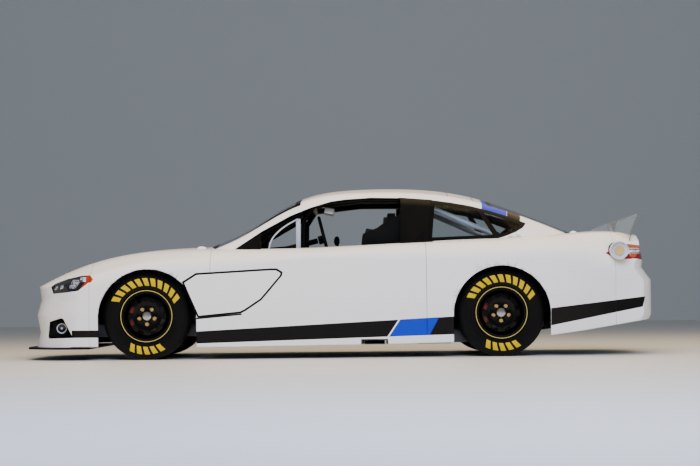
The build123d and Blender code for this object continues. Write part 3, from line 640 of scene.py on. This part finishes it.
axleHeight = 0.344
frontAxle, rearAxle, wheelY = -1.505, 1.289, 0.775
wheelPlaces = {"front_left": (frontAxle, -wheelY), "front_right": (frontAxle, wheelY),
               "rear_left": (rearAxle, -wheelY), "rear_right": (rearAxle, wheelY)}
tyreForm = {
    "steps": 112,
    # half of the section, from the bead to the middle of the tread: (place along the axle, radius)
    "half": [(-0.125, 0.191), (-0.125, 0.207), (-0.133, 0.212), (-0.138, 0.214), (-0.145, 0.232),
             (-0.1505, 0.250), (-0.1528, 0.268), (-0.1518, 0.286), (-0.1480, 0.303), (-0.1475, 0.306),
             (-0.1425, 0.3165), (-0.1365, 0.3265), (-0.1285, 0.3345), (-0.1185, 0.3400), (-0.105, 0.3428),
             (-0.06, 0.3438), (0, 0.3440)],
}
rimParts = {
    "ringRadius": 0.2035, "ringWidth": 0.0045, "ringThick": 0.0016, "ringOut": 0.1318,
    "capRadius": 0.041, "capOut": 0.060,       # how far out from the wheel's middle the cap's faces start
    "nutCircle": 0.0635, "nutRadius": 0.020, "nutOut": 0.0725,
    # the domed cap: (place along the axle, radius)
    "dome": [(-0.002, 0), (-0.002, 0.037), (0.002, 0.037), (0.007, 0.032), (0.010, 0.024), (0.0115, 0.012),
             (0.012, 0)],
}


def wheelTyre(name, x, y):
    half = tyreForm["half"]
    profile = half + [(-along, radius) for along, radius in reversed(half[:-1])] + half[:1]
    tyre = lathe(profile, (x, y, axleHeight), tyreForm["steps"])
    selectOnly(tyre)
    bpy.ops.object.shade_smooth_by_angle(angle=radians(40))
    flat = tyre.data.uv_layers.new(name="sidewall")
    for loop in tyre.data.loops:
        spot = tyre.data.vertices[loop.vertex_index].co
        flat.data[loop.index].uv = (spot.x - x, spot.z - axleHeight)
    finishPiece(tyre, "tyre_" + name + "_rounded", "wheel_" + name, [rubber])
    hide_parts("tyre_" + name)


def wheelRim(name, x, y):
    outward = -1 if y < 0 else 1
    rim = mergedCopy("rim_" + name, [wheelBlack, nutGold, capSilver], 25)

    def reach(spot):
        return hypot(spot.x - x, spot.z - axleHeight)

    def onCap(centre, normal):
        return abs(centre.y) > abs(y) + rimParts["capOut"] and reach(centre) < rimParts["capRadius"]

    def onNut(centre, normal):
        nearCircle = abs(reach(centre) - rimParts["nutCircle"]) < rimParts["nutRadius"]
        return abs(centre.y) > abs(y) + rimParts["nutOut"] and nearCircle

    paintFaces(rim, 2, onCap)
    paintFaces(rim, 1, onNut)
    outer = rimParts["ringRadius"]
    inner = outer - rimParts["ringWidth"]
    out = outward * rimParts["ringThick"]
    ring = lathe([(0, inner), (out, inner), (out, outer), (0, outer), (0, inner)],
                 (x, y + outward * rimParts["ringOut"], axleHeight), tyreForm["steps"])
    finishPiece(ring, "rim_ring_" + name, "wheel_" + name, [goldStripe])
    face = rim.ray_cast(Vector((x, outward * 2, axleHeight)), Vector((0, -outward, 0)))[1]
    domeProfile = [(outward * along, radius) for along, radius in rimParts["dome"]]
    dome = lathe(domeProfile, (x, face.y, axleHeight), 40)
    selectOnly(dome)
    bpy.ops.object.shade_smooth_by_angle(angle=radians(50))
    finishPiece(dome, "hub_cap_" + name, "wheel_" + name, [capSilver])
    mergedCopy("brake_disc_" + name, [discIron])


for name, (x, y) in wheelPlaces.items():
    wheelTyre(name, x, y)
    wheelRim(name, x, y)
print("wheels made")


# what carries the wheels, and the rest below and inside

caliper = {"ahead": 0.094, "inner": 0.712, "low": 0.26, "high": 0.43}  # where the red caliper's faces lie
for nodeName in ("knuckle_left", "knuckle_right", "rear_axle"):
    carrier = mergedCopy(nodeName, [darkEnamel, caliperRed])
    foremost = (frontAxle if nodeName.startswith("knuckle") else rearAxle) - caliper["ahead"]
    paintFaces(carrier, 1, lambda c, n: c.x < foremost and abs(c.y) > caliper["inner"]
               and caliper["low"] < c.z < caliper["high"])
plainDress = {
    "front_suspension": darkEnamel, "chassis": chassisGrey, "floor": chassisGrey, "wheel_tubs": frameBlack,
    "steering_rod": steelTube, "steering_column": frameBlack, "steering_wheel": plasticBlack,
    "engine": engineGrey, "gearbox_shaft": aluminium, "exhaust": steelTube, "fuel_cell": frameBlack,
    "radiator": aluminium, "dash": plasticBlack, "splitter": plasticBlack, "grille": plasticBlack,
    "flap_trays": frameBlack, "seat": plasticBlack,
}
for nodeName, material in plainDress.items():
    mergedCopy(nodeName, [material])
cageGreyFrom = {"x": 0.66, "z": 0.70}  # the cage is grey behind this place and below this height
cage = mergedCopy("cage", [frameBlack, cageGrey])
paintFaces(cage, 1, lambda c, n: c.x > cageGreyFrom["x"] or c.z < cageGreyFrom["z"])
bladeHalf = 0.7395  # half width of the spoiler's blade, inside its two end plates
spoiler = mergedCopy("spoiler", [spoilerSheet, spoilerEdge])
paintFaces(spoiler, 1, lambda c, n: (abs(c.y) > bladeHalf and abs(n.y) < 0.5) or n.z > 0.8)
mergedCopy("fuel_filler", [fillerSilver])
filler = {"x": 2.219, "z": 0.823, "seat": -0.935, "cap": 0.0405, "thick": 0.011, "edge": 0.003}
discSteps = [(0.001, 0), (0.001, filler["cap"]), (filler["edge"] - filler["thick"], filler["cap"]),
             (-filler["thick"], filler["cap"] - filler["edge"]), (-filler["thick"], filler["cap"] * 0.62),
             (-filler["thick"] + 0.002, filler["cap"] * 0.56), (-filler["thick"] + 0.002, 0)]
valve = lathe(discSteps, (filler["x"], filler["seat"], filler["z"]), 48)
bpy.ops.object.shade_smooth_by_angle(angle=radians(30))
finishPiece(valve, "fuel_filler_valve", "root", [valveGold])
print("underbody and cabin dressed")


# small outer pieces

def domePiece(x, y, z, length, width, height):
    # a low rounded cover, sunk 2 mm into the panel and cut flat below it
    bpy.ops.object.select_all(action="DESELECT")
    bpy.ops.mesh.primitive_uv_sphere_add(segments=32, ring_count=16, radius=1, location=(x, y, z - 0.002),
                                         scale=(length / 2, width / 2, height))
    piece = bpy.context.object
    placeInMesh(piece)
    bpy.ops.object.mode_set(mode="EDIT")
    bpy.ops.mesh.select_all(action="SELECT")
    bpy.ops.mesh.bisect(plane_co=(x, y, z - 0.004), plane_no=(0, 0, 1), clear_inner=True, use_fill=True)
    bpy.ops.object.mode_set(mode="OBJECT")
    bpy.ops.object.shade_smooth_by_angle(angle=radians(50))
    return piece


domes = {
    "hood": {"body": "hood", "x": -1.098, "y": 0.52, "length": 0.080, "width": 0.05, "height": 0.020},
    "cowl_panels": {"body": "root", "x": 1.915, "y": 0.50, "length": 0.060, "width": 0.045, "height": 0.018},
}
for nodeName, dome in domes.items():
    for side, word in ((-1, "left"), (1, "right")):
        top = surfaceZ(nodeName, dome["x"], side * dome["y"])
        piece = domePiece(dome["x"], side * dome["y"], top, dome["length"], dome["width"], dome["height"])
        finishPiece(piece, nodeName + "_hinge_cover_" + word, dome["body"], [paint])

# where the pins stand: x, then each y
pins = {"hood": (-2.215, (-0.46, -0.16, 0.16, 0.46)), "decklid": (2.27, (-0.40, 0.40))}
pinForm = {"washer": 0.021, "thick": 0.002, "post": 0.006, "tall": 0.016, "clip": 0.011, "wire": 0.0014,
           "clipHeight": 0.011}
for nodeName, (x, places) in pins.items():
    parts = []
    for y in places:
        z = surfaceZ(nodeName, x, y)
        washer = barPiece((x, y, z - 0.003), (x, y, z + pinForm["thick"]), pinForm["washer"], 32)
        bevelled(washer, 0.0008, 2)
        post = barPiece((x, y, z), (x, y, z + pinForm["tall"]), pinForm["post"], 20)
        bevelled(post, 0.0015, 2)
        bpy.ops.object.select_all(action="DESELECT")
        bpy.ops.mesh.primitive_torus_add(major_radius=pinForm["clip"], minor_radius=pinForm["wire"],
                                         major_segments=32, minor_segments=8, rotation=(pi / 2, 0, 0),
                                         location=(x + pinForm["clip"], y, z + pinForm["clipHeight"]))
        clip = bpy.context.object
        placeInMesh(clip)
        bpy.ops.object.shade_smooth()
        parts += [washer, post, clip]
    finishPiece(joined(parts), nodeName + "_lock_pins", nodeName, [aluminium])

grilleMesh = {"x": -2.378, "halfWidth": 0.425, "low": 0.392, "high": 0.548, "pitch": 0.012, "wire": 0.0022}
bpy.ops.object.select_all(action="DESELECT")
across = round(2 * grilleMesh["halfWidth"] / grilleMesh["pitch"])
upright = round((grilleMesh["high"] - grilleMesh["low"]) / grilleMesh["pitch"])
bpy.ops.mesh.primitive_grid_add(x_subdivisions=across, y_subdivisions=upright, size=1,
                                location=(grilleMesh["x"], 0, (grilleMesh["low"] + grilleMesh["high"]) / 2),
                                rotation=(pi / 2, 0, pi / 2))
wires = bpy.context.object
wires.scale = (2 * grilleMesh["halfWidth"], grilleMesh["high"] - grilleMesh["low"], 1)
placeInMesh(wires)
woven = wires.modifiers.new("wires", "WIREFRAME")
woven.thickness = grilleMesh["wire"]
bpy.ops.object.modifier_apply(modifier="wires")
finishPiece(wires, "grille_mesh", "root", [plasticBlack])
print("small outer pieces made")


# small pieces inside the cabin

def bentTube(points, radius):
    # a round tube along a smooth curve through the middle of the points
    bpy.ops.object.select_all(action="DESELECT")
    bpy.ops.curve.primitive_nurbs_path_add(location=(0, 0, 0))
    curve = bpy.context.object
    curve.data.splines.clear()
    spline = curve.data.splines.new("NURBS")
    spline.points.add(len(points) - 1)
    for point, spot in zip(spline.points, points):
        point.co = (*spot, 1)
    spline.use_endpoint_u = True
    spline.order_u = 3
    curve.data.bevel_depth = radius
    curve.data.bevel_resolution = 4
    curve.data.use_fill_caps = True
    selectOnly(curve)
    bpy.ops.object.convert(target="MESH")
    bpy.ops.object.shade_smooth_by_angle(angle=radians(50))
    return bpy.context.object


post = {
    "x": -0.312, "y": -0.612, "low": 0.845, "high": 1.112, "wide": 0.036, "thick": 0.018,
    "tube": [(-0.545, -0.735, 0.86), (-0.535, -0.725, 0.93), (-0.48, -0.70, 1.00), (-0.40, -0.665, 1.065),
             (-0.315, -0.625, 1.110)],
    "tubeRadius": 0.006,
}
bar = boxPiece((post["x"], post["y"], (post["low"] + post["high"]) / 2),
               (post["wide"], post["thick"], post["high"] - post["low"]))
tube = bentTube(post["tube"], post["tubeRadius"])
finishPiece(joined([bar, tube]), "window_post_left", "root", [cageGrey])

mirror = {"centre": (-0.062, -0.42, 1.176), "size": (0.080, 0.30, 0.050), "turn": (0, 10, 0),
          "stalk": [(-0.06, -0.42, 1.20), (-0.185, -0.42, 1.232)], "stalkRadius": 0.007}
housing = boxPiece(mirror["centre"], mirror["size"], mirror["turn"], 0.006, 3)
stalk = barPiece(*mirror["stalk"], mirror["stalkRadius"])
finishPiece(joined([housing, stalk]), "cabin_mirror", "root", [capSilver])

lever = {"path": [(0.02, -0.06, 0.42), (0.03, -0.09, 0.62), (0.02, -0.15, 0.78), (-0.005, -0.17, 0.945)],
         "radius": 0.009, "knob": 0.024, "knobTall": 1.7}
stick = bentTube(lever["path"], lever["radius"])
bpy.ops.object.select_all(action="DESELECT")
bpy.ops.mesh.primitive_uv_sphere_add(segments=24, ring_count=16, radius=lever["knob"],
                                     location=lever["path"][-1], scale=(1, 1, lever["knobTall"]))
knob = bpy.context.object
placeInMesh(knob)
bpy.ops.object.shade_smooth()
finishPiece(joined([stick, knob]), "gear_lever", "root", [plasticBlack])

padForm = {"crown": 0.10, "cuts": 7, "levels": 2}


def padPiece(centre, size, turn):
    # a foam pad with crowned faces and rounded corners
    bpy.ops.object.select_all(action="DESELECT")
    bpy.ops.mesh.primitive_cube_add(size=1, location=(0, 0, 0))
    pad = bpy.context.object
    bpy.ops.object.mode_set(mode="EDIT")
    bpy.ops.mesh.select_all(action="SELECT")
    bpy.ops.mesh.subdivide(number_cuts=padForm["cuts"])
    bpy.ops.transform.tosphere(value=padForm["crown"])
    bpy.ops.object.mode_set(mode="OBJECT")
    pad.scale = size
    pad.rotation_euler = [radians(a) for a in turn]
    pad.location = centre
    placeInMesh(pad)
    soft = pad.modifiers.new("soft", "SUBSURF")
    soft.levels = padForm["levels"]
    soft.render_levels = padForm["levels"]
    bpy.ops.object.modifier_apply(modifier="soft")
    bpy.ops.object.shade_smooth()
    return pad


seatY = -0.40
pads = {  # centre, size and turn in degrees
    "seat_cushion": ((0.08, seatY, 0.352), (0.34, 0.37, 0.055), (0, 5, 0)),
    "seat_back_pad": ((0.325, seatY, 0.66), (0.05, 0.36, 0.42), (0, 9, 0)),
    "seat_head_pad": ((0.395, seatY, 1.03), (0.05, 0.24, 0.19), (0, 3, 0)),
    "seat_head_pad_left": ((0.315, seatY - 0.175, 0.965), (0.19, 0.045, 0.10), (0, 12, 0)),
    "seat_head_pad_right": ((0.315, seatY + 0.175, 0.965), (0.19, 0.045, 0.10), (0, 12, 0)),
}
for name, (centre, size, turnDegrees) in pads.items():
    pad = finishPiece(padPiece(centre, size, turnDegrees), name, "root", [seatCloth])

belt = {
    "width": 0.072, "thick": 0.003, "edge": 0.001,
    "shoulder": {"x": 0.287, "apart": 0.085, "z": 0.70, "length": 0.46, "lean": 9},
    "lap": {"x": 0.05, "apart": 0.10, "z": 0.395, "length": 0.30, "lean": 6},
    "buckle": {"x": 0.262, "z": 0.53, "thick": 0.012, "side": 0.075, "lean": 9, "edge": 0.004},
}
shoulder, lap, buckle = belt["shoulder"], belt["lap"], belt["buckle"]
straps = []
for side in (-1, 1):
    straps.append(boxPiece((shoulder["x"], seatY + side * shoulder["apart"], shoulder["z"]),
                           (belt["thick"], belt["width"], shoulder["length"]), (0, shoulder["lean"], 0),
                           belt["edge"], 1))
    straps.append(boxPiece((lap["x"], seatY + side * lap["apart"], lap["z"]),
                           (lap["length"], belt["width"], belt["thick"]), (0, lap["lean"], 0),
                           belt["edge"], 1))
straps.append(boxPiece((buckle["x"], seatY, buckle["z"]), (buckle["thick"], buckle["side"], buckle["side"]),
                       (0, buckle["lean"], 0), buckle["edge"], 2))
finishPiece(joined(straps), "harness_straps", "root", [webbing])
print("cabin pieces made")


# floor, light and camera

studio = {
    "floor": "#d2d2ce",
    "backdrop": "#ccd3d6",
    "backdropPlace": 24,      # far enough that a view from behind stands in front of it
    "worldStrength": 0.26,
    "world": "#eef2f6",
    "lights": [  # place, size, power, colour and whether it shows in reflections
        ((-1.5, -2.5, 6.5), 8.0, 560, "#ffdca2", False),
        ((2.5, 1.5, 6.5), 8.0, 380, "#ffdca2", True),
        ((0.5, -10.5, 6.0), 6.0, 1650, "#c6d8ff", False),
    ],
}
bpy.ops.object.select_all(action="DESELECT")
bpy.ops.mesh.primitive_plane_add(size=80, location=(0, 0, 0))
floor = bpy.context.object
floor.name = "floorSheet"
floorMaterial, floorTree, floorShader = newMaterial("paleFloor", studio["floor"], 0.5)
bumpFrom(floorTree, floorShader, grain(floorTree, place(floorTree), 0.02), 0.0003, 0.2)
floor.data.materials.append(floorMaterial)
bpy.ops.mesh.primitive_plane_add(size=120, location=(0, studio["backdropPlace"], 20), rotation=(pi / 2, 0, 0))
backdrop = bpy.context.object
backdrop.name = "backdropSheet"
backdrop.data.materials.append(newMaterial("paleBackdrop", studio["backdrop"], 0.9)[0])

world = bpy.context.scene.world or bpy.data.worlds.new("studioWorld")
bpy.context.scene.world = world
world.use_nodes = True
background = world.node_tree.nodes["Background"]
background.inputs["Color"].default_value = linearColour(studio["world"])
background.inputs["Strength"].default_value = studio["worldStrength"]
for spot, size, power, colour, reflected in studio["lights"]:
    aim = Vector((0, 0, 0.6)) - Vector(spot)
    bpy.ops.object.light_add(type="AREA", location=spot, rotation=aim.to_track_quat("-Z", "Y").to_euler())
    light = bpy.context.object
    light.data.size = size
    light.data.energy = power
    light.data.color = linearColour(colour)[:3]
    light.visible_glossy = reflected

shot = {
    "place": (0.07, -14.92, 0.42),
    "focal": 1779.4,          # in pixels of the 700 by 466 picture
    "width": 700,
    "centreRow": 233,
    "levelRow": 304.4,        # where the camera's own height lies
    "centreColumn": 350,
    "straightColumn": 345.8,  # where the way straight ahead lies
    "roll": 0.6,
}
tilt = atan((shot["levelRow"] - shot["centreRow"]) / shot["focal"])
turn = -atan((shot["centreColumn"] - shot["straightColumn"]) / shot["focal"])
roll = Matrix.Rotation(-radians(shot["roll"]), 3, "Z")
aim = Matrix.Rotation(turn, 3, "Z") @ Matrix.Rotation(pi / 2 + tilt, 3, "X") @ roll
bpy.ops.object.camera_add(location=shot["place"], rotation=aim.to_euler())
camera = bpy.context.object
camera.data.sensor_width = 36
camera.data.lens = shot["focal"] / shot["width"] * camera.data.sensor_width
bpy.context.scene.camera = camera
print("floor, light and camera set")
